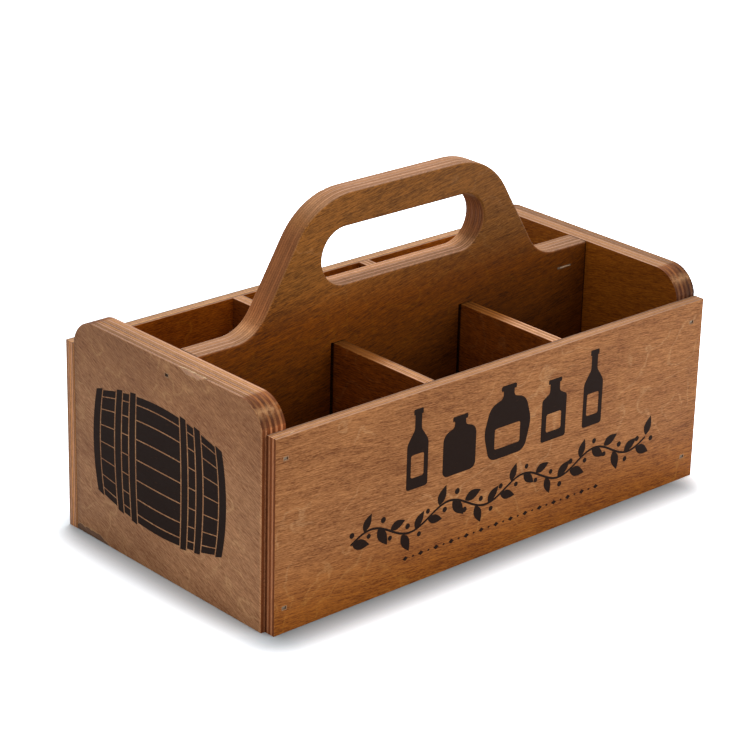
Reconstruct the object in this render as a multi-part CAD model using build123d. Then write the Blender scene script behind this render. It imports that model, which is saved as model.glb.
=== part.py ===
from build123d import *
import os

# Overall sizes of the caddy, in millimetres
overall_length = 252.0
overall_width = 137.0
overall_height = 153.5
side_height = 87.0
end_height = 99.5

# Plywood thicknesses and the softening of its sawn edges
thick_ply = 12.0
thin_ply = 5.8
edge_radius = 0.35

# Side panels stop short of one end panel's outer face
side_panel_shortfall = 2.2

# Upper corners of the end panels
end_corner_run = 13.4
end_corner_drop = 10.7
end_corner_radius = 14.0

# Handle board: virtual corner to virtual corner at the shoulders and at the top
handle_foot_length = 165.5
handle_top_length = 100.5
handle_foot_radius = 18.0
handle_top_radius = 35.0
handle_edge_radius = 1.2
handle_end_clearance = 0.3

# Hand slot through the handle board. Of the wood left above and below it, this share is the grip above it
hand_slot_length = 93.5
hand_slot_height = 25.6
grip_share = 0.375

# Cross dividers and the slots that they stand in
divider_spacing = 74.8
divider_slot_play = 2.1
divider_side_clearance = 0.15
divider_slot_head_clearance = 0.4

# Steel brads: rectangular wire with a small head, set below the surface
brad_length = 30.0
brad_wire_width = 1.25
brad_wire_thickness = 1.0
brad_head_width = 2.0
brad_head_breadth = 1.3
brad_head_thickness = 0.6
brad_point_length = 2.0
brad_point_width = 0.3
brad_sink = 0.4

# Places of the brads, and the tilt in degrees of the one that breaks out of the handle board
side_brad_inset = 7.4
side_brad_low_height = 11.5
side_brad_top_margin = 9.5
end_brad_top_margin = 6.4
end_brad_low_height = 26.0
end_brad_offset = -1.6
breakout_brad_top_margin = 9.3
breakout_brad_offset = -4.05
breakout_brad_tilt = 3.5
bottom_brad_clearance = 4.0
bottom_brad_count = 3

# Overrun of every cut past the surface that it opens
cut_overrun = 1.0

# How near to a plane or an outline corner an edge or a corner lies to be picked for rounding
pick_tolerance = 0.1


# Sizes that follow from the ones above
half_length = overall_length / 2
half_width = overall_width / 2
inner_length = overall_length - 2 * thick_ply
inner_width = overall_width - 2 * thin_ply
wall_height_inside = side_height - thin_ply
handle_board_length = inner_length - 2 * handle_end_clearance
divider_slot_width = thin_ply + divider_slot_play
divider_slot_head = side_height + divider_slot_head_clearance
grip_depth = (overall_height - divider_slot_head - hand_slot_height) * grip_share
bottom_brad_end_margin = brad_length - thick_ply + bottom_brad_clearance
bottom_brad_spacing = (inner_length - 2 * bottom_brad_end_margin) / (bottom_brad_count - 1)
divider_shift = divider_slot_play / 2 - divider_side_clearance
front_panel_left = -half_length + side_panel_shortfall
back_panel_left = -half_length


def board(size_x, size_y, size_z, low_x, low_y, low_z):
    """A plain board, from its size and its lowest corner."""
    return Pos(low_x, low_y, low_z) * Box(size_x, size_y, size_z, align=(Align.MIN, Align.MIN, Align.MIN))


def edges_on(solid, axis, position):
    """Edges whose middle lies on a plane across the given axis."""
    return ShapeList(
        edge for edge in solid.edges() if abs(edge.center().dot(axis.direction) - position) < pick_tolerance
    )


def side_panel(low_x, low_y, outer_y):
    """Long thin side panel, softened round its outer face and along its top."""
    panel = board(overall_length - side_panel_shortfall, thin_ply, side_height, low_x, low_y, 0)
    outer = edges_on(panel, Axis.Y, outer_y)
    top = edges_on(panel, Axis.Z, side_height).filter_by(Axis.X)
    return fillet(outer + [edge for edge in top if edge not in outer], edge_radius)


def end_panel(low_x, outer_x):
    """End panel between the side panels, with its two upper corners rounded."""
    half_panel = inner_width / 2
    corner_start = end_height - end_corner_drop
    corner_end = half_panel - end_corner_run
    outline = [
        Line((-half_panel, 0), (half_panel, 0)),
        Line((half_panel, 0), (half_panel, corner_start)),
        RadiusArc((half_panel, corner_start), (corner_end, end_height), -end_corner_radius),
        Line((corner_end, end_height), (-corner_end, end_height)),
        RadiusArc((-corner_end, end_height), (-half_panel, corner_start), -end_corner_radius),
        Line((-half_panel, corner_start), (-half_panel, 0)),
    ]
    face = Plane.YZ * make_face(Curve() + outline)
    panel = Pos(low_x, 0, 0) * extrude(face, thick_ply)
    return fillet(edges_on(panel, Axis.X, outer_x), edge_radius)


def handle_outline():
    """Outline of the handle board with its shoulders, flanks and top."""
    half_board = handle_board_length / 2
    half_foot = handle_foot_length / 2
    half_top = handle_top_length / 2
    face = make_face(
        Polyline(
            (-half_board, thin_ply),
            (half_board, thin_ply),
            (half_board, end_height),
            (half_foot, end_height),
            (half_top, overall_height),
            (-half_top, overall_height),
            (-half_foot, end_height),
            (-half_board, end_height),
            close=True,
        )
    )
    feet = [corner for corner in face.vertices() if abs(abs(corner.X) - half_foot) < pick_tolerance]
    face = fillet(feet, handle_foot_radius)
    tops = [corner for corner in face.vertices() if abs(abs(corner.X) - half_top) < pick_tolerance]
    return fillet(tops, handle_top_radius)


def handle_board():
    """Handle board with its hand slot and the two slots for the cross dividers."""
    slot_centre = overall_height - grip_depth - hand_slot_height / 2
    slot = Pos(0, slot_centre) * SlotOverall(hand_slot_length, hand_slot_height)
    face = Plane.XZ * (handle_outline() - slot)
    solid = extrude(face, thick_ply / 2, both=True)
    face_edges = edges_on(solid, Axis.Y, -thick_ply / 2) + edges_on(solid, Axis.Y, thick_ply / 2)
    gripped = [edge for edge in face_edges if edge.center().Z > end_height - pick_tolerance]
    solid = fillet(gripped, handle_edge_radius)
    low_y = -thick_ply / 2 - cut_overrun
    low_z = thin_ply - cut_overrun
    slot_depth = thick_ply + 2 * cut_overrun
    for side in (-1, 1):
        low_x = side * divider_spacing / 2 - divider_slot_width / 2
        solid -= board(divider_slot_width, slot_depth, divider_slot_head - low_z, low_x, low_y, low_z)
    return solid


def cross_divider(side):
    """Thin divider from one side panel to the other, standing on the bottom board."""
    low_x = side * divider_spacing / 2 + divider_shift - thin_ply / 2
    divider = board(thin_ply, inner_width, wall_height_inside, low_x, -inner_width / 2, thin_ply)
    return fillet(edges_on(divider, Axis.Z, side_height).filter_by(Axis.Y), edge_radius)


def bottom_board():
    """Bottom board let in between the four walls, level with their lower edges."""
    return board(inner_length, inner_width, thin_ply, -inner_length / 2, -inner_width / 2, 0)


def brad():
    """One brad with the top of its head at the origin and its point along +Z."""
    half_wire = brad_wire_width / 2
    half_point = brad_point_width / 2
    shoulder = brad_length - brad_point_length
    profile = make_face(
        Polyline(
            (-half_wire, 0),
            (half_wire, 0),
            (half_wire, shoulder),
            (half_point, brad_length),
            (-half_point, brad_length),
            (-half_wire, shoulder),
            close=True,
        )
    )
    wire = extrude(Plane.XZ * profile, brad_wire_thickness / 2, both=True)
    top_at_origin = (Align.CENTER, Align.CENTER, Align.MIN)
    return wire + Box(brad_head_width, brad_head_breadth, brad_head_thickness, align=top_at_origin)


def brad_pocket():
    """The small pocket that is left above a sunk head."""
    depth = brad_sink + cut_overrun
    return Box(brad_head_width, brad_head_breadth, depth, align=(Align.CENTER, Align.CENTER, Align.MAX))


def driven(place):
    """A brad and its pocket at a place on the surface whose Z axis points into the wood."""
    seat = place * Pos(0, 0, brad_sink)
    return seat * brad(), seat * brad_pocket()


def side_panel_brads(face_y, into):
    """Brads through one side panel into the edges of both end panels."""
    places = []
    for x in (-half_length + side_brad_inset, half_length - side_brad_inset):
        for z in (side_brad_low_height, side_height - side_brad_top_margin):
            places.append(Plane(origin=(x, face_y, z), x_dir=(1, 0, 0), z_dir=(0, into, 0)).location)
    return [driven(place) for place in places]


def end_brads(face_x, into, settings):
    """Brads through one end panel into the handle board, from their heights, offsets and tilts."""
    places = []
    for z, y, tilt in settings:
        square = Plane(origin=(face_x, y, z), x_dir=(0, 1, 0), z_dir=(into, 0, 0)).location
        places.append(square * Rot(0, -tilt, 0))
    return [driven(place) for place in places]


def bottom_brads():
    """Brads up through the bottom board into the lower edge of the handle board."""
    places = []
    for index in range(bottom_brad_count):
        x = (index - (bottom_brad_count - 1) / 2) * bottom_brad_spacing
        places.append(Plane(origin=(x, 0, 0), x_dir=(1, 0, 0), z_dir=(0, 0, 1)).location)
    return [driven(place) for place in places]


def drilled(piece, brads):
    """A wooden piece with the holes of the brads that reach it."""
    for nail, pocket in brads:
        piece -= nail
        piece -= pocket
    return piece


def build():
    """All pieces of the caddy by name."""
    low_brad = (end_brad_low_height, end_brad_offset, 0)
    high_brad = (end_height - end_brad_top_margin, end_brad_offset, 0)
    breakout_brad = (end_height - breakout_brad_top_margin, breakout_brad_offset, breakout_brad_tilt)
    brads = {
        "front_panel_brads": side_panel_brads(-half_width, 1),
        "back_panel_brads": side_panel_brads(half_width, -1),
        "left_end_brads": end_brads(-half_length, 1, [low_brad, high_brad]),
        "right_end_brads": end_brads(half_length, -1, [low_brad, breakout_brad]),
        "bottom_board_brads": bottom_brads(),
    }
    side_brads = brads["front_panel_brads"] + brads["back_panel_brads"]
    board_brads = brads["left_end_brads"] + brads["right_end_brads"] + brads["bottom_board_brads"]
    front_panel = side_panel(front_panel_left, -half_width, -half_width)
    back_panel = side_panel(back_panel_left, half_width - thin_ply, half_width)
    left_end = end_panel(-half_length, -half_length)
    right_end = end_panel(half_length - thick_ply, half_length)
    pieces = {
        "front_side_panel": drilled(front_panel, brads["front_panel_brads"]),
        "back_side_panel": drilled(back_panel, brads["back_panel_brads"]),
        "left_end_panel": drilled(left_end, side_brads + brads["left_end_brads"]),
        "right_end_panel": drilled(right_end, side_brads + brads["right_end_brads"]),
        "handle_board": drilled(handle_board(), board_brads),
        "left_cross_divider": cross_divider(-1),
        "right_cross_divider": cross_divider(1),
        "bottom_board": drilled(bottom_board(), brads["bottom_board_brads"]),
    }
    for name, group in brads.items():
        pieces[name] = Compound([nail for nail, pocket in group])
    return pieces


os.makedirs("parts", exist_ok=True)
for name, shape in build().items():
    export_step(shape, f"parts/{name}.step")
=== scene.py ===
from functools import partial
from math import copysign, cos, pi, radians, sin, tan

import bmesh
import bpy
from bpy.props import FloatProperty, FloatVectorProperty, PointerProperty
from bpy.types import Operator, Panel, PropertyGroup
from mathutils import Matrix, Vector


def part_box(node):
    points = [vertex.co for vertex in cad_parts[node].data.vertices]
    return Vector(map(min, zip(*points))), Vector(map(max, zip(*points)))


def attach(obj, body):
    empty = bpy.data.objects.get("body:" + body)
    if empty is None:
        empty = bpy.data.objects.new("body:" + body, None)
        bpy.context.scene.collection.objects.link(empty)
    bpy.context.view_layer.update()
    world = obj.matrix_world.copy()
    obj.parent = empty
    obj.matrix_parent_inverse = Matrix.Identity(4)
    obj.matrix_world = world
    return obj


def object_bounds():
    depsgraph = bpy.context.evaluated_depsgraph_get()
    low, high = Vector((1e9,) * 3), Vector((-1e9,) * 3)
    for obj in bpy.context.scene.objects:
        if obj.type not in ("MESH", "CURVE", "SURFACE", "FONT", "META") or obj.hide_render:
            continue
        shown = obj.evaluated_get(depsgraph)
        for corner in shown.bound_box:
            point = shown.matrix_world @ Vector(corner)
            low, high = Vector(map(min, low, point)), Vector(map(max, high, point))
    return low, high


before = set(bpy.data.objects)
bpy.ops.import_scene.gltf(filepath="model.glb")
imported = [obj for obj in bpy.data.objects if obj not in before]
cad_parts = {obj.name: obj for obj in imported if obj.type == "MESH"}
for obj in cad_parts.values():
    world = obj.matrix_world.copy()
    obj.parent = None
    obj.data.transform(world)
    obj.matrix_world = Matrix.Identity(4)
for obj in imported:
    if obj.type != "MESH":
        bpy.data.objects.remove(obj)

bl_info = {
    "name": "Plywood Bottle Caddy",
    "version": (1, 0, 0),
    "blender": (4, 5, 0),
    "location": "3D View > Sidebar > Caddy",
    "description": "Stained plywood, brads and printed ornament for a bottle caddy, with its studio",
    "category": "Object",
}

CAD_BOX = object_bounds()
MM = 0.001
X, Y, Z = 0, 1, 2

# Outer faces of the front side panel and of the left end panel, from their parts
FRONT_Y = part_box("front_side_panel")[0].y
LEFT_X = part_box("left_end_panel")[0].x

# Kinds of node that come often, and settings that go with them
MIX = "ShaderNodeMix"
NOISE = "ShaderNodeTexNoise"
RANGE = "ShaderNodeMapRange"
VECTOR = "ShaderNodeVectorMath"
CHANCE = "ShaderNodeTexWhiteNoise"
XYZ = "ShaderNodeCombineXYZ"
SPLIT = "ShaderNodeSeparateXYZ"
PLACE = "ShaderNodeTexCoord"
SHADER = "ShaderNodeBsdfPrincipled"
SURFACE = "ShaderNodeOutputMaterial"
RANDOM = "FunctionNodeRandomValue"
RGBA = {"data_type": "RGBA"}
TINT = {"data_type": "RGBA", "blend_type": "MULTIPLY"}
SCALE = {"operation": "SCALE"}
SMOOTH = {"interpolation_type": "SMOOTHSTEP"}


def linear(hex_colour):
    """An sRGB hex value as linear RGBA."""
    channels = []
    for start in (1, 3, 5):
        value = int(hex_colour[start : start + 2], 16) / 255
        channels.append(value / 12.92 if value <= 0.04045 else ((value + 0.055) / 1.055) ** 2.4)
    return (*channels, 1.0)


def add_node(tree, kind, *inputs, output=None, **settings):
    """Adds a node, sets or links its inputs and gives an output. The inputs come in the order that they show, or in
    one dict by name. A kind in capitals is an operation of the Math node."""
    if kind.isupper():
        kind, settings["operation"] = "ShaderNodeMath", kind
    node = tree.nodes.new(kind)
    for name, value in settings.items():
        setattr(node, name, value)
    if inputs and isinstance(inputs[0], dict):
        pairs = [(node.inputs[name], value) for name, value in inputs[0].items()]
    else:
        pairs = zip([socket for socket in node.inputs if socket.enabled], inputs)
    for socket, value in pairs:
        if isinstance(value, bpy.types.NodeSocket):
            tree.links.new(value, socket)
        else:
            socket.default_value = value
    shown = [socket for socket in node.outputs if socket.enabled]
    return node.outputs[output] if output else shown[0] if shown else node


def emptied(owner):
    """Empties the node tree of a material or a world, and gives the function that adds nodes to it."""
    owner.use_nodes = True
    owner.node_tree.nodes.clear()
    return partial(add_node, owner.node_tree)


def new_group(name, kind, inputs, outputs):
    """A node group with its named inputs and outputs, each from its type or, for a number, from its default."""
    tree = bpy.data.node_groups.new(name, f"{kind}NodeTree")
    for in_out, sockets in (("INPUT", inputs), ("OUTPUT", outputs)):
        for label, value in sockets.items():
            if isinstance(value, str):
                tree.interface.new_socket(label, in_out=in_out, socket_type=f"NodeSocket{value}")
            else:
                tree.interface.new_socket(label, in_out=in_out, socket_type="NodeSocketFloat").default_value = value
    return tree, partial(add_node, tree), tree.nodes.new("NodeGroupInput").outputs


# Patterns in the wood: length and width in millimetres, then the detail and the roughness of the noise. Flecks,
# fibres and pores are drawn about twice as coarse as birch has them, so that they show
SWAY = (85, 45, 2, 0.5)
RIPPLE = (14, 7, 2, 0.6)
CLOUD = (42, 24, 2, 0.5)
FLAME = (34, 30, 3, 0.4)
TEAR = (2.2, 2.2, 2, 0.6)
FLECK = (1.7, 0.36, 2, 0.6)
FIBRE = (5, 0.32, 1, 0.5)
BAND = (60, 3.4, 3, 0.55)
PORE = (2.4, 0.4, 0, 0.5)

# Breaks in the ink, in millimetres along X, Y and Z: they follow the fibres of the wood
INK_BREAK = (3.85, 3.85, 0.667)

# In millimetres: how far the border between two veneers and the outline of a chip wander, how far outside the wood a
# chip runs out, how far into the face its shade counts, how near to a glue line its dark starts and is full, how deep
# the outer face reaches, and the relief of the grain
RAGGED = 0.36
RAGGED_CHIP = 2.4
CHIP_RUNS_OUT = -1.3
CHIP_SHADE_REACH = 20
GLUE_LINE = (0.3, 0.08)
FACE_DEPTH = 0.3
RELIEF = 0.12

# Colours that every board takes from the properties of the same names, unless its tones say otherwise
SHARED_TONES = ("Pale figure", "Stain tint", "Long edge", "Core end grain", "Face end grain", "Edge stain", "Glue line")


def pattern(add, long_way, short_way, third_way, sizes):
    """A noise drawn out along the grain."""
    length, width, detail, roughness = sizes
    place = add(XYZ, add("DIVIDE", long_way, length), add("DIVIDE", short_way, width), third_way)
    return add(NOISE, place, 1, detail, roughness)


def plywood_group():
    """Solid plywood: veneers stacked through the depth, each with its own grain, seen on faces and on sawn edges."""
    tree, add, given = new_group("Plywood", "Shader", {
        "Along": 0, "Across": 0, "Depth": 0, "Thickness": 12, "Layers": 5, "Normal along": 0, "Normal across": 0,
        "Seed": 0, "Figure": 0.2, "Wave": 0.7, "Fibre contrast": 1.4, "Pores": 0.22, "Edge shade": 1,
        "End grain from": 0.04, "Full end grain": 0.15, "Deep stain": 0, "Edge lit": 1, "Deep edge stain": 0,
        "Lit": 1, "Chip depth": -1, "Chip shade": 1, "Worn edges": 1, "Veneer spread": 0.85,
        **dict.fromkeys(("Light veneer", "Dark veneer", *SHARED_TONES), "Color"),
    }, {"Color": "Color", "Roughness": "Float", "Height": "Float"})
    along, wide, depth, seed, layers = (given[name] for name in ("Along", "Across", "Depth", "Seed", "Layers"))

    # Grain that wanders: the across coordinate is pushed by two slow noises
    sway = pattern(add, along, wide, seed, SWAY)
    ripple = pattern(add, along, wide, seed, RIPPLE)
    push = add("MULTIPLY_ADD", sway, 7, ripple)
    across = add("MULTIPLY_ADD", push, given["Wave"], wide)

    # Veneer number, whether it is a cross veneer, and how far its grain points out of the surface
    layer = add("DIVIDE", given["Thickness"], layers)
    torn = pattern(add, along, wide, add("DIVIDE", depth, 2), TEAR)
    ragged = add("ADD", add("MULTIPLY_ADD", torn, RAGGED, -RAGGED / 2), depth)
    stack = add("DIVIDE", ragged, layer)
    held = add("ShaderNodeClamp", stack, 0.001, add("ADD", layers, -0.001))
    number = add("FLOOR", held)
    cross = add("MODULO", number, 2)
    end_grain = add(RANGE, add(MIX, cross, given["Normal along"], given["Normal across"]), 0.02, 0.5)

    # Short flecks and pores along the grain of each veneer, finer fibres between them, and broad bands
    long_way = add(MIX, cross, along, across)
    short_way = add(MIX, cross, across, along)
    deep = add("MULTIPLY_ADD", seed, 7.3, depth)
    fleck, fibre, band, pore = (
        pattern(add, long_way, short_way, add("DIVIDE", deep, sizes[1]), sizes)
        for sizes in (FLECK, FIBRE, BAND, PORE)
    )
    cloud = pattern(add, along, wide, add("MULTIPLY", seed, 3.1), CLOUD)
    fine = add("ADD", add("MULTIPLY_ADD", fibre, 1.3, fleck), -1.15)
    tone = add("MULTIPLY_ADD", fine, given["Fibre contrast"], 0.5)
    slow_tone = add("ADD", add("ADD", band, cloud), -1)
    tone = add("MULTIPLY_ADD", slow_tone, 0.6, tone, use_clamp=True)
    veneer = add(MIX, tone, given["Dark veneer"], given["Light veneer"], **RGBA)
    open_pore = add("MULTIPLY", add(RANGE, pore, 0.63, 0.74), given["Pores"])
    veneer = add(VECTOR, veneer, add("SUBTRACT", 1, open_pore, use_clamp=True), **SCALE)

    # Pale flame figure: broken contour lines of a slow noise
    hill = pattern(add, along, across, add("MULTIPLY", seed, 1.7), FLAME)
    contour = add("PINGPONG", add("MULTIPLY", hill, 4), 0.25)
    line = add(RANGE, contour, 0.055, 0, **SMOOTH)
    line = add("MULTIPLY", line, add(RANGE, cloud, 0.47, 0.58, **SMOOTH))
    line = add("MULTIPLY", line, add(RANGE, fleck, 0.3, 0.6))
    line = add("MULTIPLY", line, given["Figure"], use_clamp=True)
    veneer = add(MIX, line, veneer, given["Pale figure"], **RGBA)

    # The inner face is left rough, so it takes more stain, and its tint is also painted shade inside the compartments.
    # The same tint goes where the deep stain input lays it: darker towards the foot of the panels, and painted shade
    # low on the handle board
    inside = add("GREATER_THAN", number, add("ADD", layers, -1.5))
    inside = add("MAXIMUM", inside, given["Deep stain"])
    veneer = add(MIX, inside, veneer, given["Stain tint"], **TINT)

    # Sawn edges: every veneer has its own tone, and end grain drinks more stain
    sawn = add(RANGE, add("MAXIMUM", given["Normal along"], given["Normal across"]), 0.45, 0.9, **SMOOTH)
    end_colour = add(MIX, cross, given["Face end grain"], given["Core end grain"], **RGBA)
    edge = add(MIX, end_grain, given["Long edge"], end_colour, **RGBA)
    chance = add(CHANCE, add("MULTIPLY_ADD", seed, 11.7, number), noise_dimensions="1D")
    shade = add("MULTIPLY_ADD", add("ADD", chance, -0.5), given["Veneer spread"], 1.025)
    grainy = add("MULTIPLY", add("MULTIPLY_ADD", fine, 0.8, shade), given["Edge shade"])
    # Painted light and shade on the sawn edges, from the board's table
    grainy = add("MULTIPLY", grainy, given["Edge lit"])
    edge = add(VECTOR, edge, grainy, **SCALE)
    soaked = add(RANGE, given["Normal along"], given["End grain from"], given["Full end grain"], **SMOOTH)
    edge = add(MIX, soaked, edge, given["Edge stain"], **TINT)
    # Painted shadow: the stain's tint laid on the sawn edges where a shadow falls across them
    edge = add(MIX, given["Deep edge stain"], edge, given["Stain tint"], **TINT)

    # Dark glue lines on the sawn edges, some of them faint
    rim = add("MULTIPLY", add("PINGPONG", held, 0.5), layer)
    glue = add(RANGE, rim, *GLUE_LINE, **SMOOTH)
    broken = add(RANGE, band, 0.35, 0.6, 0.2, 0.9)
    faint = add(CHANCE, add("MULTIPLY_ADD", seed, 5.9, add("ROUND", held)), noise_dimensions="1D")
    glue = add("MULTIPLY", glue, add("MULTIPLY", broken, add(RANGE, faint, 0, 1, 0.6, 1.2)))
    glue = add("MULTIPLY", glue, add("GREATER_THAN", stack, 0.6))
    glue = add("MULTIPLY", glue, add("LESS_THAN", stack, add("ADD", layers, -0.6)), use_clamp=True)
    edge = add(MIX, glue, edge, given["Glue line"], **RGBA)
    colour = add(MIX, sawn, veneer, edge, **RGBA)

    # Arrises that are worn pale in places
    worn = add("MULTIPLY", add(RANGE, torn, 0.42, 0.55, 0, 1.1), given["Worn edges"])
    arris = add("MULTIPLY", add("PINGPONG", sawn, 0.5), worn, use_clamp=True)
    colour = add(MIX, arris, colour, given["Pale figure"], **RGBA)

    # A chip in the face veneer: the wood below shows, and its torn border is pale
    chip_depth = add("ADD", add("MULTIPLY_ADD", torn, RAGGED_CHIP, -RAGGED_CHIP / 2), given["Chip depth"])
    below = add(VECTOR, given["Long edge"], given["Chip shade"], **SCALE)
    below = add(VECTOR, below, grainy, **SCALE)
    outer_face = add("LESS_THAN", depth, FACE_DEPTH)
    chip = add("MULTIPLY", add(RANGE, chip_depth, -0.05, 0.1), outer_face)
    colour = add(MIX, chip, colour, below, **RGBA)
    border = add(RANGE, add("ABSOLUTE", chip_depth), 0.3, 0.1, 0, 0.75)
    border = add("MULTIPLY", border, outer_face)
    colour = add(MIX, border, colour, given["Pale figure"], **RGBA)

    # Painted light and shade on the faces and the edges: darker where shade falls, brighter where light falls
    colour = add(VECTOR, colour, given["Lit"], **SCALE)

    rough = add("MULTIPLY_ADD", fleck, -0.2, 0.68)
    rough = add("MULTIPLY_ADD", end_grain, 0.12, rough)
    height = add("MULTIPLY_ADD", end_grain, -0.4, fleck)
    height = add("MULTIPLY_ADD", glue, -0.4, height)
    add("NodeGroupOutput", colour, rough, height)
    return tree


# Each board:
# lie: axis through its thickness, side of its first veneer, axes along and across its face grain, and turn in degrees
# veneers: start of the names of its light and dark tones. tones: the other ones that it changes
# finish: where it departs from the defaults of the plywood group
# stain: a coordinate, or its distance from the middle, two places along it in millimetres, and the value at each.
#   The shares of light, one for the faces and one for the sawn edges, are painted light over 1 and painted shade
#   under 1. The deep stain on the faces is the strength of the stain's tint: darker towards the foot of the panels,
#   a little darker high on the left end panel, and painted shade low on the handle board. On the sawn edges of the
#   dividers that tint is a painted shadow
# chips in the outer veneer: start and end along Y, height of their edge, way into the face, depth and shade
BOARDS = {
    "front_side_panel": {
        "lie": (Y, -1, X, Z, 4), "veneers": "panel", "tones": {"Stain tint": "front_tint"},
        "finish": {"Seed": 3, "Figure": 0.42, "Edge shade": 0.8, "Worn edges": 0.8},
        # Painted light on the sawn left end, painted shade on the right of the top edge, darker towards the foot
        "stain": {
            "Lit": [("x", -123.75, -123.4, 1.45, 1)],
            "Deep stain": [("z", 2, 38, 0.9, 0)],
            "Edge lit": [("x", 60, 125, 1, 0.76), ("x", -123.75, -123.4, 1.3, 1)],
        },
    },
    "back_side_panel": {
        "lie": (Y, 1, X, Z, -2), "veneers": "panel",
        "tones": {"Core end grain": "pale_figure", "Face end grain": "core_end_grain", "Edge stain": "pale_edge_stain"},
        "finish": {"Seed": 11, "Figure": 0.4, "Edge shade": 1.04},
        # Painted light on the inner face and the sawn left end, painted shade on the top edge, darker towards the foot
        "stain": {
            "Lit": [("y", 62.8, 63.2, 1.3, 1)],
            "Deep stain": [("z", 2, 38, 0.75, 0)],
            "Edge lit": [("z", 86, 86.6, 1, 0.8), ("x", -125.9, -125.5, 1.22, 1)],
        },
    },
    "left_end_panel": {
        "lie": (X, -1, Y, Z, -24), "veneers": "end",
        "finish": {"Layers": 9, "Seed": 5, "Figure": 0.8, "Wave": 1, "Fibre contrast": 1.1, "Edge shade": 1.1,
                   "Veneer spread": 0.95},
        # Painted shade high up and towards the back, painted light along the front edge, more tint high up
        "stain": {
            "Lit": [("z", 66, 94, 1, 0.88), ("y", -35, 40, 1, 0.84), ("y", 59, 62, 1, 0.8), ("y", -62.6, -61, 1.35, 1)],
            "Deep stain": [("z", 62, 90, 0, 0.15)],
            "Edge lit": [("y", -62.65, -62.3, 1.7, 1), ("y", -62, -53, 0.8, 1)],
        },
        "chips": [(-29, -8, 99.5, -1, 1.7, 1.6), (34, 76, 0, 1, 3.2, 0.5)],
    },
    "right_end_panel": {
        "lie": (X, 1, Y, Z, 9), "veneers": "end",
        "finish": {"Layers": 9, "Seed": 17, "Wave": 1, "Fibre contrast": 1.2, "Edge shade": 0.86},
        # Painted shade on the inner face and towards the front, painted light and shade on the edges, darker towards
        # the foot
        "stain": {
            "Lit": [("x", 114.1, 114.3, 0.88, 1), ("y", -60, 20, 0.78, 1.05)],
            "Deep stain": [("z", 2, 30, 0.3, 0)],
            "Edge lit": [("y", -60, 20, 1.28, 0.95), ("y", -62, -52, 0.65, 1)],
        },
    },
    "handle_board": {
        "lie": (Y, -1, X, Z, -11), "veneers": "board",
        "tones": {"Core end grain": "board_end_grain", "Face end grain": "board_end_grain", "Stain tint": "board_stain_and_shade_tint"},
        "finish": {"Layers": 9, "Seed": 23, "Figure": 0.14, "Wave": 0.8, "Fibre contrast": 1.3, "Edge shade": 0.95,
                   "End grain from": 0.45, "Full end grain": 0.9, "Worn edges": 0.1, "Veneer spread": 0.35},
        # Painted shade at the joints with the end panels, low down and towards the right; on the edges, painted light
        # towards the right and in the hand slot, and painted shade along the crest
        "stain": {
            "Lit": [("|x|", 112.9, 113.4, 1, 0.4), ("z", 66, 118, 0.55, 1), ("x", -20, 50, 1, 0.72)],
            "Deep stain": [("z", 97, 121, 1, 0)],
            "Edge lit": [("x", -20, 50, 1, 1.39), ("|x|", 46, 52, 1.2, 1), ("z", 126, 150, 1, 0.73),
                         ("z", 100, 103, 0.7, 1), ("z", 107, 118, 1.43, 1), ("x", 84, 114, 1.04, 0.8)],
        },
    },
    "left_cross_divider": {
        "lie": (X, -1, Y, Z, 3), "veneers": "inner",
        "finish": {"Seed": 31, "Figure": 0.1, "Edge shade": 1.16},
        # Painted shade where it passes through the handle board, and the handle board's painted shadow across its top
        # edge
        "stain": {
            "Lit": [("|y|", 5.4, 6.2, 0.2, 1)],
            "Edge lit": [("y", -44, -24, 1, 0.36), ("y", 0, 8, 1, 2.78)],
            "Deep edge stain": [("y", -44, -24, 0, 1), ("y", 0, 8, 1, 0)],
        },
    },
    "right_cross_divider": {
        "lie": (X, -1, Y, Z, -3), "veneers": "inner",
        "finish": {"Seed": 37, "Figure": 0.1, "Edge shade": 0.9},
        # Painted shade where it passes through the handle board, and the handle board's painted shadow across its top
        # edge
        "stain": {
            "Lit": [("|y|", 5.4, 6.2, 0.2, 1)],
            "Edge lit": [("y", -42, -22, 1.27, 0.46), ("y", 0, 8, 1, 2.17)],
            "Deep edge stain": [("y", -42, -22, 0, 1), ("y", 0, 8, 1, 0)],
        },
    },
    "bottom_board": {
        "lie": (Z, -1, X, Y, 0), "veneers": "inner", "finish": {"Seed": 43, "Wave": 1, "Fibre contrast": 1.5},
    },
}


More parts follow.
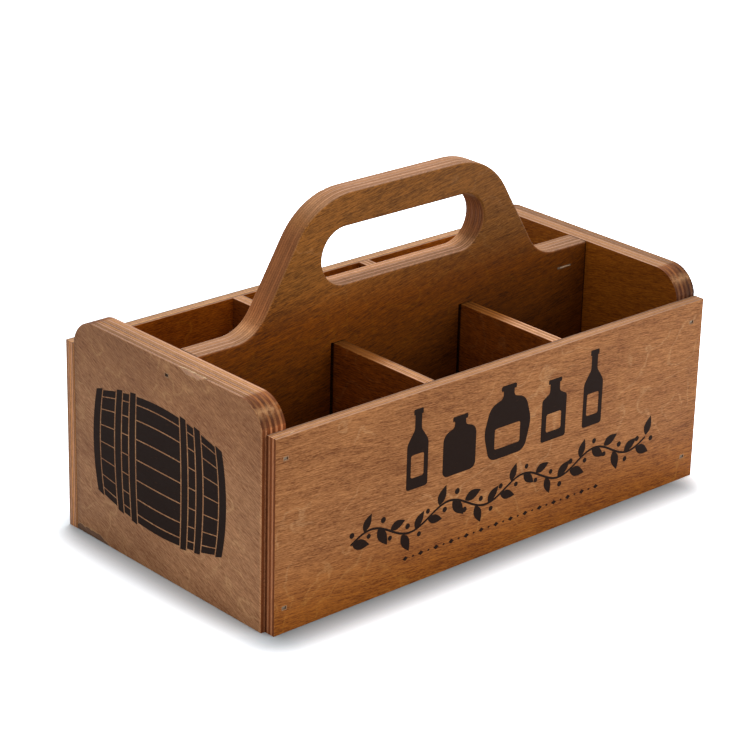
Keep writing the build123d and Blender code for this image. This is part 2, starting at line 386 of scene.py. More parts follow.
def plywood(group, node, colours):
    """Birch plywood, rotary cut and wiped with a brown stain: flecked faces, striped sawn edges that are paler, and
    painted light and shade.
    """
    board = BOARDS[node]
    axis, side, along_axis, across_axis, turn = board["lie"]
    low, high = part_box(node)
    material = bpy.data.materials.new("Stained birch plywood, " + node.replace("_", " "))
    add = emptied(material)
    place = add(PLACE, output="Object")
    position = add(SPLIT, place).node.outputs
    normal = add(SPLIT, place.node.outputs["Normal"]).node.outputs
    depth = add("SUBTRACT", position[axis], low[axis] if side < 0 else high[axis])
    cosine = cos(radians(turn)) / MM
    sine = sin(radians(turn)) / MM
    along = add("MULTIPLY", position[along_axis], cosine)
    across = add("MULTIPLY", position[across_axis], cosine)
    values = {
        "Along": add("MULTIPLY_ADD", position[across_axis], -sine, along),
        "Across": add("MULTIPLY_ADD", position[along_axis], sine, across),
        "Depth": add("MULTIPLY", depth, -side / MM),
        "Thickness": (high[axis] - low[axis]) / MM,
        "Normal along": add("ABSOLUTE", normal[along_axis]),
        "Normal across": add("ABSOLUTE", normal[across_axis]),
        "Light veneer": getattr(colours, board["veneers"] + "_light"),
        "Dark veneer": getattr(colours, board["veneers"] + "_dark"),
        **board["finish"],
    }
    shared = {tone: tone.lower().replace(" ", "_") for tone in SHARED_TONES}
    for tone, name in {**shared, **board.get("tones", {})}.items():
        values[tone] = getattr(colours, name)
    # Painted light and shade, and darker stain towards the foot, from the board's rows
    for key, rows in board.get("stain", {}).items():
        values[key] = 1
        for where, near, far, near_value, far_value in rows:
            distance = position["xyz".index(where.strip("|"))]
            if where.startswith("|"):
                distance = add("ABSOLUTE", distance)
            area = add(RANGE, distance, near * MM, far * MM, near_value, far_value, **SMOOTH)
            values[key] = add("MULTIPLY", area, values[key])
    chip_depth, chip_shade = -1, 0
    for start, end, edge_height, way, deepest, shade in board.get("chips", ()):
        half = (end - start) / 2 * MM
        offset = add("ABSOLUTE", add("SUBTRACT", position[Y], (start + end) / 2 * MM))
        reach = add(RANGE, offset, 0.4 * half, half, deepest, CHIP_RUNS_OUT)
        inward = add("MULTIPLY_ADD", position[Z], way / MM, -way * edge_height)
        chip_depth = add("MAXIMUM", add("SUBTRACT", reach, inward), chip_depth)
        chip_shade = add("MULTIPLY_ADD", add("LESS_THAN", inward, CHIP_SHADE_REACH), shade, chip_shade)
        values.update({"Chip depth": chip_depth, "Chip shade": chip_shade})
    wood = add("ShaderNodeGroup", values, node_tree=group).node.outputs
    bump = add("ShaderNodeBump", {"Height": wood["Height"], "Strength": 0.4, "Distance": RELIEF * MM})
    add(SURFACE, add(SHADER, {
        "Base Color": wood["Color"], "Roughness": wood["Roughness"], "Normal": bump, "Specular IOR Level": 0.14,
    }))
    return material


def steel_wire(name, dark, light):
    """Galvanised steel wire, driven before staining: dull under the stain, with spots that stayed brighter."""
    material = bpy.data.materials.new(name)
    add = emptied(material)
    spots = add(NOISE, add(PLACE, output="Object"), 1 / (0.5 * MM), 2)
    colour = add(MIX, spots, linear(dark), linear(light), **RGBA)
    rough = add(RANGE, spots, 0, 1, 0.55, 0.75)
    add(SURFACE, add(SHADER, {"Base Color": colour, "Roughness": rough, "Metallic": 1}))
    return material


def birch_fibre(name, dark, light):
    """Birch fibre that the saw or a brad has torn or crushed: pale straw, dull and streaked."""
    material = bpy.data.materials.new(name)
    add = emptied(material)
    streaks = add(NOISE, add(PLACE, output="Object"), 1 / (0.8 * MM), 2)
    colour = add(MIX, streaks, linear(dark), linear(light), **RGBA)
    add(SURFACE, add(SHADER, {"Base Color": colour, "Roughness": 0.7}))
    return material


def printing_ink(black):
    """Matt black screen-printing ink: thin enough for the wood's fibres to break it up a little."""
    name = "Screen-printing ink, matt black"
    if name in bpy.data.materials:
        return bpy.data.materials[name]
    material = bpy.data.materials.new(name)
    add = emptied(material)
    scale = [1 / (size * MM) for size in INK_BREAK]
    fibres = add("ShaderNodeMapping", {"Vector": add(PLACE, output="Object"), "Scale": scale})
    breaks = add(NOISE, fibres, 1, 3, 0.6)
    bare = add(RANGE, breaks, 0.62, 0.8, 0, 0.5, **SMOOTH)
    colour = add(MIX, bare, black, linear("#4A3224"), **RGBA)
    rough = add(RANGE, breaks, 0, 1, 0.6, 0.8)
    add(SURFACE, add(SHADER, {"Base Color": colour, "Roughness": rough, "Specular IOR Level": 0.06}))
    return material


def rounded_outline(corners, steps=6):
    """A closed outline of straight runs with an arc at each corner, from points and radii in millimetres."""
    outline = []
    for index, (x, y, radius) in enumerate(corners):
        here = Vector((x, y))
        before = Vector(corners[index - 1][:2]) - here
        after = Vector(corners[(index + 1) % len(corners)][:2]) - here
        turn = before.angle(after)
        reach = radius / tan(turn / 2)
        limit = 0.499 * min(before.length, after.length)
        if reach > limit:
            radius *= limit / reach
            reach = limit
        if radius <= 0:
            outline.append(here)
            continue
        middle = (before.normalized() + after.normalized()).normalized() * (radius / sin(turn / 2)) + here
        first = here + before.normalized() * reach - middle
        swing = copysign(pi - turn, before.y * after.x - before.x * after.y)
        outline += [middle + Matrix.Rotation(swing * step / steps, 2) @ first for step in range(steps + 1)]
    return outline


def mirrored(half):
    """A symmetrical set of corners from its right half, listed from the bottom up."""
    return [*half, *[(-x, y, radius) for x, y, radius in reversed(half)]]


def circle(x, radius, steps=16):
    """A closed round outline."""
    turns = [2 * pi * step / steps for step in range(steps)]
    return [Vector((x + radius * cos(turn), radius * sin(turn))) for turn in turns]


def leaf(start, length, half_width, steps=10):
    """A closed pointed leaf outline along +X, widest nearer its stalk."""
    upper = []
    for step in range(steps + 1):
        share = step / steps
        upper.append((start + length * share, half_width * sin(pi * share ** 0.8)))
    lower = [(x, -0.85 * y) for x, y in reversed(upper[1:-1])]
    return [Vector(point) for point in upper + lower]


def moved(outline, x, y):
    """An outline moved."""
    return [point + Vector((x, y)) for point in outline]


def new_object(name, data):
    """An object in the scene."""
    piece = bpy.data.objects.new(name, data)
    bpy.context.collection.objects.link(piece)
    return piece


def plain_mesh(host):
    """The mesh that an object's curve or modifier makes."""
    graph = bpy.context.evaluated_depsgraph_get()
    return bpy.data.meshes.new_from_object(host.evaluated_get(graph))


def finished(name, mesh, place):
    """A mesh put in its place, merged, with its faces turned outwards, as an object at the origin."""
    work = bmesh.new()
    work.from_mesh(mesh)
    bmesh.ops.remove_doubles(work, verts=work.verts, dist=0.001 * MM)
    bmesh.ops.transform(work, matrix=place, verts=work.verts)
    bmesh.ops.recalc_face_normals(work, faces=work.faces)
    work.to_mesh(mesh)
    work.free()
    mesh.name = name
    return new_object(name, mesh)


def film(name, outlines, thickness, place):
    """A thin layer of ink in the shape of closed outlines in millimetres, where an outline inside another is a hole."""
    curve = bpy.data.curves.new(name, "CURVE")
    curve.dimensions = "2D"
    curve.fill_mode = "BOTH"
    curve.extrude = thickness / 2
    for outline in outlines:
        spline = curve.splines.new("POLY")
        spline.points.add(len(outline) - 1)
        for point, corner in zip(spline.points, outline):
            point.co = (corner.x * MM, corner.y * MM, 0, 1)
        spline.use_cyclic_u = True
    sketch = new_object(f"{name}_sketch", curve)
    mesh = plain_mesh(sketch)
    bpy.data.objects.remove(sketch)
    bpy.data.curves.remove(curve)
    return finished(name, mesh, place)


def grown(name, tree, values, place):
    """The plain mesh that a Geometry Nodes tree makes from its inputs."""
    host = new_object(f"{name}_host", bpy.data.meshes.new(f"{name}_host"))
    modifier = host.modifiers.new(name, "NODES")
    modifier.node_group = tree
    for item in tree.interface.items_tree:
        if item.item_type == "SOCKET" and item.in_out == "INPUT":
            modifier[item.identifier] = values[item.name]
    mesh = plain_mesh(host)
    host.modifiers.remove(modifier)
    bpy.data.objects.remove(host)
    return finished(name, mesh, place)


def front_place(thickness):
    """Where a flat drawing lies on the front side panel: right is +X, up is +Z."""
    turn = Matrix(((1, 0, 0), (0, 0, -1), (0, 1, 0))).to_4x4()
    return Matrix.Translation((0, FRONT_Y - thickness / 2, 0)) @ turn


def left_place(thickness):
    """Where a flat drawing lies on the left end panel: right is -Y, up is +Z."""
    turn = Matrix(((0, 0, -1), (-1, 0, 0), (0, 1, 0))).to_4x4()
    return Matrix.Translation((LEFT_X - thickness / 2, 0, 0)) @ turn


def brad_places(node, axis, sense):
    """Places of a node's brad heads on the face that they enter, lowest first, in millimetres."""
    head_reach = 4
    heads = []
    points = [corner.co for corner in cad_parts[node].data.vertices]
    depth = Y if axis == X else X
    outermost = min(point[depth] for point in points)
    for point in points:
        if point[depth] - outermost < 0.01 * MM:
            spot = Vector((sense * point[axis], point[Z])) / MM
            near = next((head for head in heads if (head[0] - spot).length < head_reach), None)
            if near:
                near.append(spot)
            else:
                heads.append([spot])
    middles = [sum(head, Vector((0, 0))) / len(head) for head in heads]
    return sorted(middles, key=lambda middle: middle.y)


def coat(piece, material):
    """Gives an object its only material."""
    piece.data.materials.clear()
    piece.data.materials.append(material)


def dress(piece, material):
    """Gives a new piece its material, and lets it ride on the caddy."""
    coat(piece, material)
    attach(piece, "root")


def set_out(add, points, motif, size, turn=(0, 0, 0)):
    """Sets out an object's shape on every point."""
    shape = add("GeometryNodeObjectInfo", {"Object": motif}, output="Geometry")
    return add("GeometryNodeInstanceOnPoints", {
        "Points": points, "Instance": shape, "Rotation": turn, "Scale": size,
    })


def end_group(add, geometry, material):
    """Ends a Geometry Nodes tree in plain geometry with its material."""
    real = add("GeometryNodeRealizeInstances", geometry)
    add("NodeGroupOutput", add("GeometryNodeSetMaterial", {"Geometry": real, "Material": material}))


def vine_tree():
    """Geometry Nodes: a waving stem of ink with a leaf and a berry at every step, on alternate sides."""
    tree, add, given = new_group("Leafy vine", "Geometry", {
        **dict.fromkeys(("Vine length", "Wave height", "Wave length", "Stem width", "Film thickness", "Leaf spacing",
                         "Leaf angle", "Berry angle", "Smallest leaf", "Largest leaf"), "Float"),
        "Seed": "Int", "Leaf": "Object", "Berry": "Object", "Ink": "Material",
    }, {"Geometry": "Geometry"})
    half = add("MULTIPLY", given["Vine length"], 0.5)
    start = add("MULTIPLY", half, -1)
    line = add("GeometryNodeCurvePrimitiveLine", {"Start": add(XYZ, start), "End": add(XYZ, half)})
    line = add("GeometryNodeResampleCurve", {"Curve": line, "Count": 160})
    spot = add(SPLIT, add("GeometryNodeInputPosition")).node.outputs
    turn = add("MULTIPLY", add("DIVIDE", spot["X"], given["Wave length"]), 2 * pi)
    rise = add("MULTIPLY", add("SINE", turn), given["Wave height"])
    stem = add("GeometryNodeSetPosition", {"Geometry": line, "Position": add(XYZ, spot["X"], rise)})
    flat = add("GeometryNodeSetCurveNormal", {"Curve": stem}, mode="Z_UP")
    profile = add("GeometryNodeCurvePrimitiveQuadrilateral", {
        "Width": given["Stem width"], "Height": given["Film thickness"],
    })
    ribbon = add("GeometryNodeCurveToMesh", {"Curve": flat, "Profile Curve": profile, "Fill Caps": True})
    steps = add("GeometryNodeCurveToPoints", {"Curve": stem, "Length": given["Leaf spacing"]},
                mode="LENGTH").node.outputs
    tangent = add(SPLIT, steps["Tangent"]).node.outputs
    heading = add("ARCTAN2", tangent["Y"], tangent["X"])
    side = add("MODULO", add("GeometryNodeInputIndex"), 2)
    side = add("MULTIPLY_ADD", side, 2, -1)
    size = add(RANDOM, {2: given["Smallest leaf"], 3: given["Largest leaf"], "Seed": given["Seed"]},
               data_type="FLOAT")
    joined = add("GeometryNodeJoinGeometry").node
    tree.links.new(ribbon, joined.inputs[0])
    for motif, angle, flip in (("Leaf", "Leaf angle", 1), ("Berry", "Berry angle", -1)):
        lean = add("MULTIPLY_ADD", side, add("MULTIPLY", given[angle], flip), heading)
        motifs = set_out(add, steps["Points"], given[motif], size, add(XYZ, 0, 0, lean))
        tree.links.new(motifs, joined.inputs[0])
    end_group(add, joined.outputs[0], given["Ink"])
    return tree


def row_tree():
    """Geometry Nodes: a straight row of one motif, every second one smaller."""
    tree, add, given = new_group("Row of motifs", "Geometry", {
        "Count": "Int", "Spacing": "Float", "Small share": "Float", "Motif": "Object", "Ink": "Material",
    }, {"Geometry": "Geometry"})
    line = add("GeometryNodeMeshLine", {"Count": given["Count"], "Offset": add(XYZ, given["Spacing"])})
    odd = add("MODULO", add("GeometryNodeInputIndex"), 2)
    size = add(MIX, odd, 1, given["Small share"])
    end_group(add, set_out(add, line, given["Motif"], add(XYZ, size, size, 1)), given["Ink"])
    return tree


def torn_fibre_tree():
    """Geometry Nodes: slivers of wood scattered along a line, each with its own lean and length."""
    tree, add, given = new_group("Torn fibres", "Geometry", {
        "Start": "Vector", "End": "Vector", "Heading": "Vector", "Lean": "Vector", "Shortest": "Float",
        "Longest": "Float", "Count": "Int", "Seed": "Int", "Sliver": "Object", "Fibre": "Material",
    }, {"Geometry": "Geometry"})
    line = add("GeometryNodeMeshLine", {
        "Count": given["Count"], "Start Location": given["Start"], "Offset": given["End"],
    }, mode="END_POINTS")
    back = add(VECTOR, given["Lean"], -1, **SCALE)
    lean = add(RANDOM, {0: back, 1: given["Lean"], "Seed": given["Seed"]}, data_type="FLOAT_VECTOR")
    size = add(RANDOM, {2: given["Shortest"], 3: given["Longest"], "Seed": given["Seed"]}, data_type="FLOAT")
    turn = add(VECTOR, given["Heading"], lean, operation="ADD")
    end_group(add, set_out(add, line, given["Sliver"], size, turn), given["Fibre"])
    return tree


def sliver():
    """One sliver of wood 1 mm long, thin and pointed at both ends."""
    work = bmesh.new()
    rings = []
    for share, half_width in ((0.2, 0.06), (0.5, 0.08), (0.8, 0.045)):
        ring = []
        for side, top in ((-1, 0), (0, 1), (1, 0), (0, -1)):
            ring.append(work.verts.new(((share - 0.5) * MM, side * half_width * MM, top * 0.4 * half_width * MM)))
        rings.append(ring)
    tips = [work.verts.new((-0.5 * MM, 0, 0)), work.verts.new((0.5 * MM, 0, 0))]
    for index in range(4):
        after = (index + 1) % 4
        for first, second in zip(rings, rings[1:]):
            work.faces.new((first[index], first[after], second[after], second[index]))
        for tip, ring in zip(tips, (rings[0], rings[-1])):
            work.faces.new((tip, ring[index], ring[after]))
    mesh = bpy.data.meshes.new("sliver")
    work.to_mesh(mesh)
    work.free()
    return new_object("sliver", mesh)


# Half outlines of the vessels: share of the width, share of the height, corner radius as a share of the width
TALL_BOTTLE = ((0.5, 0, 0.12), (0.5, 0.56, 0.45), (0.16, 0.72, 0.3), (0.16, 0.9, 0), (0.22, 0.9, 0.03),
               (0.22, 0.97, 0.05))
FLASK = ((0.5, 0, 0.16), (0.5, 0.72, 0.26), (0.17, 0.8, 0.1), (0.17, 0.9, 0), (0.23, 0.9, 0.03), (0.23, 0.98, 0.04))
JUG = ((0.42, 0, 0.2), (0.56, 0.4, 0.5), (0.42, 0.74, 0.5), (0.13, 0.8, 0.1), (0.13, 0.9, 0), (0.18, 0.9, 0.03),
       (0.18, 0.97, 0.04))
SQUARE_BOTTLE = ((0.5, 0, 0.08), (0.5, 0.66, 0.12), (0.2, 0.74, 0.14), (0.2, 0.88, 0), (0.27, 0.88, 0.03),
                 (0.27, 0.95, 0.04))

# The row of vessels: place from the middle, outline, width and height in millimetres, and whether it has a label
VESSELS = ((-52, TALL_BOTTLE, 12, 37, True), (-28, FLASK, 19, 27, False), (0, JUG, 25, 34, True),
           (28, SQUARE_BOTTLE, 15, 30, True), (52, TALL_BOTTLE, 12, 37, True))
LABEL = ((0.3, 0.14), (0.3, 0.42))

# Motifs in millimetres: a leaf's stalk, length and half width, a berry's distance from the stem and radius, and the
# corners of a lozenge. The lozenges' spacing is in metres
LEAF = (0.9, 9.5, 2.5)
BERRY = (4.2, 1.3)
LOZENGE = ((1.6, 0), (0, 1.1), (-1.6, 0), (0, -1.1))
LOZENGE_COUNT = 27
LOZENGE_SPACING = 4.4 * MM

# The cask: width of its ends as a share of its belly, bow of its ends, its middle on the end panel and the gaps
# between its staves and at its hoops in millimetres, and the lines of its staves and hoops as shares of its half sizes
CASK_END_SHARE = 0.76
CASK_END_BOW = 0.06
CASK_MIDDLE = (-4.6, 48.0)
STAVE_GAP = 0.55
HOOP_GAP = 0.7
STAVES = (-1, -0.86, -0.62, -0.32, 0, 0.32, 0.62, 0.86, 1)
HOOPS = ((-1, -0.9), (-0.66, -0.57), (-0.44, -0.35), (0.35, 0.44), (0.57, 0.66), (0.9, 1))

# Corners of the crushed wood round a brad head and of the hole in it, with their radii, in millimetres
RIM = ((1.4, -1, 0.4), (1.4, 1, 0.4))
RIM_HOLE = ((1, -0.65, 0.05), (1, 0.65, 0.05))


def colour_prop(name, description, hex_colour):
    """A colour that the user can change, from its sRGB hex value."""
    return FloatVectorProperty(name=name, description=description, default=linear(hex_colour), size=4,
                               min=0, max=1, subtype="COLOR")


def length_prop(name, description, millimetres):
    """A length that the user can change, from its millimetres."""
    return FloatProperty(name=name, description=description, default=millimetres * MM, unit="LENGTH", precision=5)


def angle_prop(name, description, degrees):
    """An angle that the user can change, from its degrees."""
    return FloatProperty(name=name, description=description, default=radians(degrees), subtype="ANGLE")


class CaddyFinish(PropertyGroup):
    """Colours of the stained plywood and the ink"""
    panel_light: colour_prop("Side panel, light", "Palest veneer of the side panels", "#BC7F4C")
    panel_dark: colour_prop("Side panel, dark", "Darkest veneer of the side panels", "#703D18")
    end_light: colour_prop("End panel, light", "Palest veneer of the end panels", "#CE976A")
    end_dark: colour_prop("End panel, dark", "Darkest veneer of the end panels", "#7C4A2A")
    board_light: colour_prop("Handle board, light", "Palest veneer of the handle board", "#AB6B2A")
    board_dark: colour_prop("Handle board, dark", "Darkest veneer of the handle board", "#563006")
    # The veneers of the dividers and the bottom are darker than the panels': in part painted shade inside the
    # compartments
    inner_light: colour_prop("Dividers, light", "Palest veneer of the dividers and the bottom", "#9A5112")
    inner_dark: colour_prop("Dividers, dark", "Darkest veneer of the dividers and the bottom", "#512002")
    pale_figure: colour_prop("Pale figure", "Flame figure of the birch", "#CC9C6C")
    # The stain tints are also laid as painted shade: on the inner faces inside the compartments, low on the handle
    # board and across the dividers' top edges
    stain_tint: colour_prop("Stain tint", "Tint of a second helping of stain", "#F4C450")
    front_tint: colour_prop("Stain tint, front", "Tint of the stain along the front panel's foot", "#E8C85C")
    board_stain_and_shade_tint: colour_prop("Stain tint, handle", "Tint of a second helping on the handle board", "#EAC629")
    long_edge: colour_prop("Long edge", "Veneers sawn along their grain", "#AF8366")
    core_end_grain: colour_prop("Core end grain", "Cross veneers sawn across their grain", "#A97A50")
    face_end_grain: colour_prop("Face end grain", "Face veneers sawn across their grain", "#74482A")
    board_end_grain: colour_prop("Handle end grain", "End grain on the handle board's edge", "#A57650")
    edge_stain: colour_prop("Edge stain", "Tint of the stain that end grain drinks", "#CFB399")
    pale_edge_stain: colour_prop("Pale edge stain", "Tint of a thin stain on end grain", "#FFF4EA")
    glue_line: colour_prop("Glue line", "Dark line of glue between veneers", "#5E3318")
    ink: colour_prop("Ink", "Black of the printed ornament", "#1F120C")


class CaddyPrint(PropertyGroup):
    """Sizes of the printed ornament and of the rims round the brads"""
    film_thickness: length_prop("Film thickness", "Thickness of the ink", 0.03)
    rim_thickness: length_prop("Rim thickness", "Height of the crushed wood round a brad", 0.03)
    vessel_base: length_prop("Vessel base", "Height of the line that the vessels stand on", 44)
    vine_height: length_prop("Vine height", "Height of the middle of the vine", 28.5)
    vine_length: length_prop("Vine length", "Length of the vine", 176)
    row_height: length_prop("Row height", "Height of the row of lozenges", 13)
    centre: length_prop("Centre", "Middle of the front ornament, from the middle of the panel", 4.5)
    cask_length: length_prop("Cask length", "Length of the cask on the end panel", 90)
    cask_height: length_prop("Cask height", "Height of the cask at its belly", 60)


class CaddyStage(PropertyGroup):
    """Camera and lamps of the studio"""
    camera_place: FloatVectorProperty(name="Camera place", description="Where the camera stands",
                                      default=(-0.73666, -0.79807, 0.50986), subtype="TRANSLATION")
    azimuth: angle_prop("Azimuth", "Heading of the view from +Y towards +X", 42.317)
    elevation: angle_prop("Elevation", "How far the camera looks down", 22.501)
    roll: angle_prop("Roll", "Turn of the camera about its view", 1.476)
    lens: FloatProperty(name="Lens", description="Focal length on a 36 mm wide sensor", default=127.99,
                        unit="CAMERA")
    # Reach of the painted shadow on the floor round the caddy's foot
    painted_shadow_reach: length_prop("Painted shadow reach", "Reach of the shade where the caddy stands", 20)
    world_level: FloatProperty(name="World level", description="Strength of the light from all round", default=0.6)


class CADDY_OT_boards(Operator):
    """Gives every plywood board its stained birch finish"""
    bl_idname = "caddy.boards"
    bl_label = "Finish the boards"

    def execute(self, context):
        group = plywood_group()
        for node in BOARDS:
            coat(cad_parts[node], plywood(group, node, context.scene.caddy_finish))
        return {"FINISHED"}


class CADDY_OT_brads(Operator):
    """Gives the sunk brads their galvanised steel"""
    bl_idname = "caddy.brads"
    bl_label = "Finish the brads"

    def execute(self, context):
        wiped = steel_wire("Galvanised steel wire", "#4E4338", "#A08E7A")
        soaked = steel_wire("Galvanised steel wire, stained", "#1C140F", "#54443A")
        for node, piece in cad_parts.items():
            if node.endswith("_brads"):
                coat(piece, soaked if node == "left_end_brads" else wiped)
        return {"FINISHED"}


class CADDY_OT_fibres(Operator):
    """Lifts torn fibres on the sawn edges and where a brad breaks out"""
    bl_idname = "caddy.fibres"
    bl_label = "Tear the fibres"

    def execute(self, context):
        fibre = birch_fibre("Raw birch fibre", "#A57B58", "#DCBB96")
        one = sliver()
        tree = torn_fibre_tree()
        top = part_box("left_end_panel")[1].z / MM
        side_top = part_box("front_side_panel")[1].z / MM
        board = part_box("handle_board")[0].y / MM
        left = LEFT_X / MM
        front = FRONT_Y / MM
        for name, slot, start, end, *settings in (
            ("left_end_splinters", "thick_plywood", (left + 0.6, -11, top + 0.1), (left + 0.6, -26, top + 0.1),
             18, (0, 0.12, pi / 2), (0.3, 0.07, 0.07), 3.0, 6.0, 3),
            ("front_panel_chip", "thin_plywood", (left + 11, front + 1.2, side_top),
             (left + 12.6, front + 1.9, side_top), 5, (0, 0, 0.1), (0.4, 0.05, 0.3), 1.8, 3.0, 8),
            ("handle_board_splinters", "thick_plywood", (98, board - 0.5, 90.4), (102.6, board - 0.2, 90.2),
             11, (0, -0.05, 0.05), (0.3, 0.12, 0.08), 2.0, 4.0, 5),
        ):
            values = dict(zip(("Count", "Heading", "Lean", "Shortest", "Longest", "Seed"), settings))
            values.update({"Start": Vector(start) * MM, "End": Vector(end) * MM, "Sliver": one, "Fibre": fibre})
            dress(grown(name, tree, values, Matrix.Identity(4)), fibre)
        bpy.data.objects.remove(one)
        return {"FINISHED"}


class CADDY_OT_rims(Operator):
    """Raises the crushed wood round each brad of the front panel and the upper brad of the left end"""
    bl_idname = "caddy.rims"
    bl_label = "Raise the brad rims"

    def execute(self, context):
        thickness = context.scene.caddy_print.rim_thickness
        crushed = birch_fibre("Crushed birch fibre", "#7C583A", "#A87E56")
        for name, slot, places, place in (
            ("front_brad_rims", "thin_plywood", brad_places("front_panel_brads", X, 1), front_place(thickness)),
            ("left_end_brad_rims", "thick_plywood", brad_places("left_end_brads", Y, -1)[-1:],
             left_place(thickness)),
        ):
            outlines = []
            for x, z in places:
                outlines += [moved(rounded_outline(mirrored(corners)), x, z) for corners in (RIM, RIM_HOLE)]
            dress(film(name, outlines, thickness, place), crushed)
        return {"FINISHED"}


class CADDY_OT_vessels(Operator):
    """Prints the row of vessels on the front side panel"""
    bl_idname = "caddy.vessels"
    bl_label = "Print the vessels"

    def execute(self, context):
        sizes = context.scene.caddy_print
        outlines = []
        for x, shares, width, height, has_label in VESSELS:
            vessel = [(u * width, v * height, radius * width) for u, v, radius in shares]
            label = [(u * width, v * height, 1) for u, v in LABEL]
            for corners in (vessel, label) if has_label else (vessel,):
                outline = rounded_outline(mirrored(corners))
                outlines.append(moved(outline, sizes.centre / MM + x, sizes.vessel_base / MM))
        piece = film("front_print_vessels", outlines, sizes.film_thickness, front_place(sizes.film_thickness))
        dress(piece, printing_ink(context.scene.caddy_finish.ink))
        return {"FINISHED"}


class CADDY_OT_vine(Operator):
    """Prints the leafy vine and the row of lozenges on the front side panel"""
    bl_idname = "caddy.vine"
    bl_label = "Print the vine"

    def execute(self, context):
        sizes = context.scene.caddy_print
        ink = printing_ink(context.scene.caddy_finish.ink)
        lozenge_corners = [Vector(corner) for corner in LOZENGE]
        blade, berry, lozenge = (
            film(name, [outline], sizes.film_thickness, Matrix.Identity(4))
            for name, outline in (
                ("vine_leaf", leaf(*LEAF)), ("vine_berry", circle(*BERRY)), ("lozenge", lozenge_corners),
            )
        )
        start = sizes.centre - LOZENGE_SPACING * (LOZENGE_COUNT - 1) / 2
        for name, tree, across, up, values in (
            ("front_print_vine", vine_tree(), sizes.centre, sizes.vine_height, {
                "Vine length": sizes.vine_length, "Wave height": 4 * MM, "Wave length": 44 * MM,
                "Stem width": 1 * MM, "Film thickness": sizes.film_thickness, "Leaf spacing": 7.3 * MM,
                "Leaf angle": 0.75, "Berry angle": 0.9, "Smallest leaf": 0.85, "Largest leaf": 1.1, "Seed": 4,
                "Leaf": blade, "Berry": berry, "Ink": ink,
            }),
            ("front_print_lozenges", row_tree(), start, sizes.row_height, {
                "Count": LOZENGE_COUNT, "Spacing": LOZENGE_SPACING, "Small share": 0.5, "Motif": lozenge, "Ink": ink,
            }),
        ):
            place = Matrix.Translation((across, 0, up)) @ front_place(sizes.film_thickness)
            dress(grown(name, tree, values, place), ink)
        for motif in (blade, berry, lozenge):
            bpy.data.objects.remove(motif)
        return {"FINISHED"}


class CADDY_OT_cask(Operator):
    """Prints the cask on the left end panel"""
    bl_idname = "caddy.cask"
    bl_label = "Print the cask"

    def execute(self, context):
        sizes = context.scene.caddy_print
        half_length = sizes.cask_length / MM / 2
        half_height = sizes.cask_height / MM / 2
        steps = 8
        gap_u = HOOP_GAP / half_length
        gap_v = STAVE_GAP / half_height / 2
        cells = [(u0, u1, -1.03, 1.03) for u0, u1 in HOOPS]
        for (_, u0), (u1, _) in zip(HOOPS, HOOPS[1:]):
            cells += [(u0 + gap_u, u1 - gap_u, v0 + gap_v, v1 - gap_v) for v0, v1 in zip(STAVES, STAVES[1:])]
        outlines = []
        for u0, u1, v0, v1 in cells:
            corners = [Vector(corner) for corner in ((u0, v0), (u1, v0), (u1, v1), (u0, v1))]
            outline = []
            for corner, after in zip(corners, corners[1:] + corners[:1]):
                for step in range(steps):
                    u, v = corner.lerp(after, step / steps)
                    bulge = CASK_END_SHARE + (1 - CASK_END_SHARE) * (1 - u * u)
                    x = half_length * u * (1 - CASK_END_BOW * v * v)
                    outline.append(Vector((x, half_height * bulge * v)))
            outlines.append(moved(outline, *CASK_MIDDLE))
        piece = film("left_print_cask", outlines, sizes.film_thickness, left_place(sizes.film_thickness))
        dress(piece, printing_ink(context.scene.caddy_finish.ink))
        return {"FINISHED"}


def background_rays(add):
    """One for the rays that see the background: straight from the camera, or by way of gloss or glass."""
    rays = add("ShaderNodeLightPath").node.outputs
    seen = add("MAXIMUM", rays["Is Camera Ray"], rays["Is Glossy Ray"])
    return add("MAXIMUM", seen, rays["Is Transmission Ray"])


def floor_paint(reach):
    """Matt white studio floor: it takes the object's shadow, and a painted shadow darkens it where the caddy's foot
    stands.
    """
    material = bpy.data.materials.new("Matt white floor paint")
    add = emptied(material)
    seen = background_rays(add)

    # Distance from the foot, measured from a little inside it at the left, the right and the back
    low = CAD_BOX[0] + Vector((0.006, 0, 0))
    high = CAD_BOX[1] - Vector((0.016, 0.005, 0))
    place = add(PLACE, output="Object")
    away = add(VECTOR, place, (low + high) / 2, operation="SUBTRACT")
    away = add(VECTOR, away, operation="ABSOLUTE")
    away = add(VECTOR, away, (high - low) / 2, operation="SUBTRACT")
    away = add(VECTOR, away, (0, 0, 0), operation="MAXIMUM")
    away = add(VECTOR, away, operation="LENGTH")

    # The painted shadow is paler past the right end, and its red, green and blue have levels at the foot and at its
    # reach
    right = add(RANGE, add(SPLIT, place), 0.112, 0.13, 1, 1.7, **SMOOTH)
    painted_shadow_levels = [add("MULTIPLY", add(RANGE, away, 0, reach, least, most), right)
             for least, most in ((0.28, 1), (0.326, 1.04), (0.348, 1.08))]
    colour = add(MIX, seen, (0.6, 0.6, 0.6, 1), add("ShaderNodeCombineColor", *painted_shadow_levels), **RGBA)
    matt = add("ShaderNodeBsdfDiffuse", colour)

    # The eye sees the floor brighter than it lights the object
    extra = add("ShaderNodeMixShader", {0: add("MULTIPLY", seen, 0.4), 2: matt})
    add(SURFACE, add("ShaderNodeAddShader", matt, extra))
    return material


# Lamps: place, size and power
LAMPS = {
    "top softbox": ((0.08, 0.2, 1.5), 0.36, 13),
    "front softbox": ((0.5, -1.6, 0.9), 1, 10),
}
LAMP_AIM = Vector((0, 0, 0.05))
FLOOR_HALF_SIZE = 4


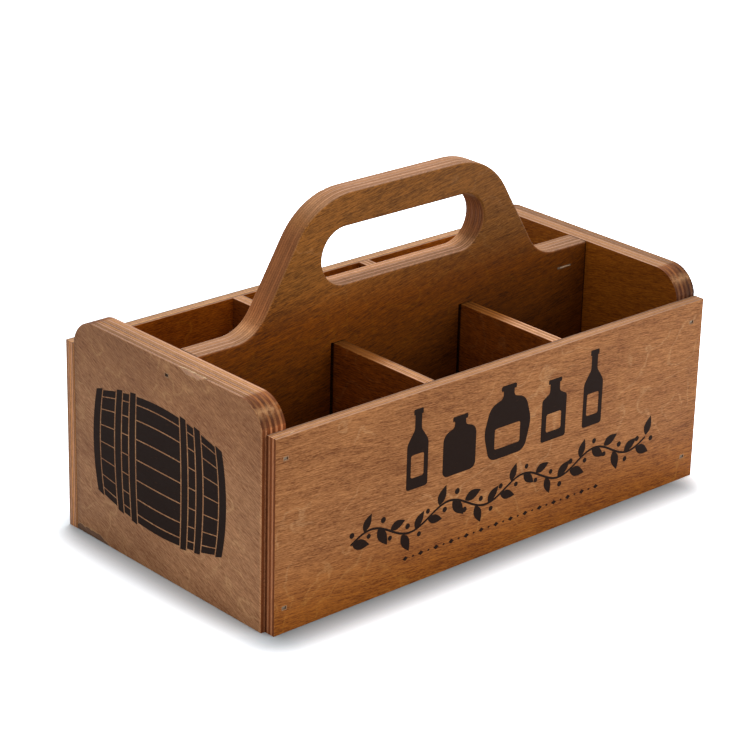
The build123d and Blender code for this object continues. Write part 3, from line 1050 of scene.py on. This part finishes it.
class CADDY_OT_stage(Operator):
    """Sets the floor, the lamps, the world and the camera"""
    bl_idname = "caddy.stage"
    bl_label = "Set the stage"

    def execute(self, context):
        stage = context.scene.caddy_stage
        scene = context.scene
        scene.view_settings.view_transform = "Standard"
        mesh = bpy.data.meshes.new("floor")
        work = bmesh.new()
        bmesh.ops.create_grid(work, x_segments=1, y_segments=1, size=FLOOR_HALF_SIZE)
        work.to_mesh(mesh)
        work.free()
        floor = new_object("floor", mesh)
        coat(floor, floor_paint(stage.painted_shadow_reach))

        world = bpy.data.worlds.new("Studio")
        add = emptied(world)
        level = add(MIX, background_rays(add), stage.world_level, 1)
        add("ShaderNodeOutputWorld", add("ShaderNodeBackground", (1, 1, 1, 1), level))
        scene.world = world

        for name, (place, size, power) in LAMPS.items():
            lamp = bpy.data.lights.new(name, "AREA")
            lamp.size = size
            lamp.energy = power
            body = new_object(name, lamp)
            body.location = place
            body.rotation_euler = (LAMP_AIM - Vector(place)).to_track_quat("-Z", "Y").to_euler()

        forward = Vector((sin(stage.azimuth) * cos(stage.elevation),
                          cos(stage.azimuth) * cos(stage.elevation), -sin(stage.elevation)))
        level_right = Vector((cos(stage.azimuth), -sin(stage.azimuth), 0))
        level_up = level_right.cross(forward)
        right = level_right * cos(stage.roll) + level_up * sin(stage.roll)
        camera = bpy.data.cameras.new("camera")
        camera.lens = stage.lens
        camera.sensor_width = 36
        camera.clip_end = 20
        eye = new_object("camera", camera)
        turn = Matrix((right, right.cross(forward), -forward)).transposed().to_4x4()
        eye.matrix_world = Matrix.Translation(stage.camera_place) @ turn
        scene.camera = eye
        return {"FINISHED"}


class CADDY_PT_sidebar(Panel):
    """Lists the caddy's sizes and its operators"""
    bl_idname = "CADDY_PT_sidebar"
    bl_label = "Bottle Caddy"
    bl_space_type = "VIEW_3D"
    bl_region_type = "UI"
    bl_category = "Caddy"

    def draw(self, context):
        for group in (getattr(context.scene, name) for name in PROPERTIES):
            box = self.layout.box()
            for name in group.bl_rna.properties.keys():
                if name not in {"rna_type", "name"}:
                    box.prop(group, name)
        for operator in OPERATORS:
            self.layout.operator(operator.bl_idname)


OPERATORS = (CADDY_OT_boards, CADDY_OT_brads, CADDY_OT_fibres, CADDY_OT_rims, CADDY_OT_vessels, CADDY_OT_vine,
             CADDY_OT_cask, CADDY_OT_stage)
PROPERTIES = {"caddy_finish": CaddyFinish, "caddy_print": CaddyPrint, "caddy_stage": CaddyStage}
CLASSES = (*PROPERTIES.values(), *OPERATORS, CADDY_PT_sidebar)


def register():
    for cls in CLASSES:
        bpy.utils.register_class(cls)
    for name, group in PROPERTIES.items():
        setattr(bpy.types.Scene, name, PointerProperty(type=group))


def unregister():
    for name in PROPERTIES:
        delattr(bpy.types.Scene, name)
    for cls in reversed(CLASSES):
        bpy.utils.unregister_class(cls)


def main():
    register()
    bpy.ops.caddy.boards()
    bpy.ops.caddy.brads()
    bpy.ops.caddy.fibres()
    bpy.ops.caddy.rims()
    bpy.ops.caddy.vessels()
    bpy.ops.caddy.vine()
    bpy.ops.caddy.cask()
    bpy.ops.caddy.stage()


if __name__ == "__main__":
    main()
